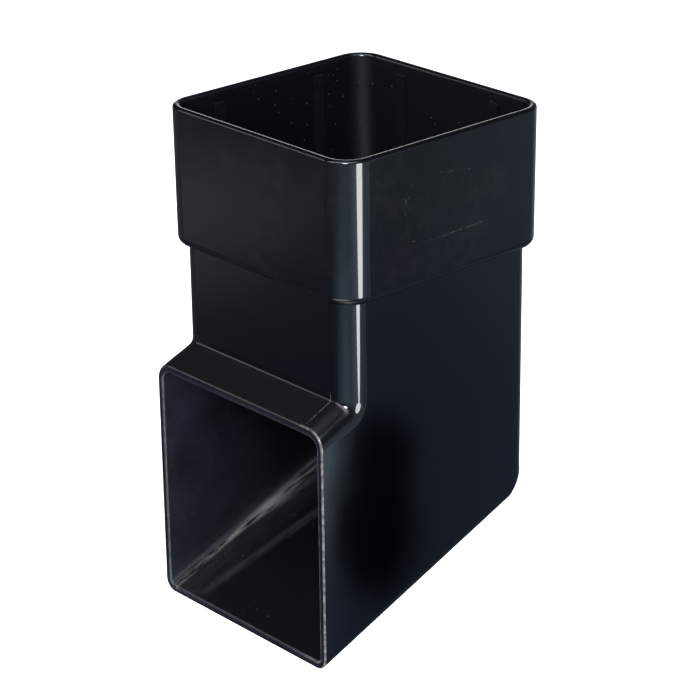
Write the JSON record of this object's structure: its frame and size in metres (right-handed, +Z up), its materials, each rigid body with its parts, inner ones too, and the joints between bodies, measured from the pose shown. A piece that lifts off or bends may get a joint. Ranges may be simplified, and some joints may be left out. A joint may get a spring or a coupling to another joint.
{
  "type": "downpipe shoe",
  "caption": "Moulded shoe for the foot of a square downpipe: a flared square socket on a hollow body that turns the water forward through a sloping outlet.",
  "frame": {"origin": "on the pipe's axis, on the ledge inside the socket where the pipe ends", "axes": "+Z up along the pipe and out of the socket's mouth, -Y out of the outlet, +X to the right seen from in front of the outlet"},
  "size_m": [0.07, 0.0764, 0.1354],
  "materials": {
    "black_plastic": "glossy black moulding with a faint blue cast, light scuffs and dust"
  },
  "bodies": {
    "root": {"shoe_body": "black_plastic"}
  },
  "joints": []
}
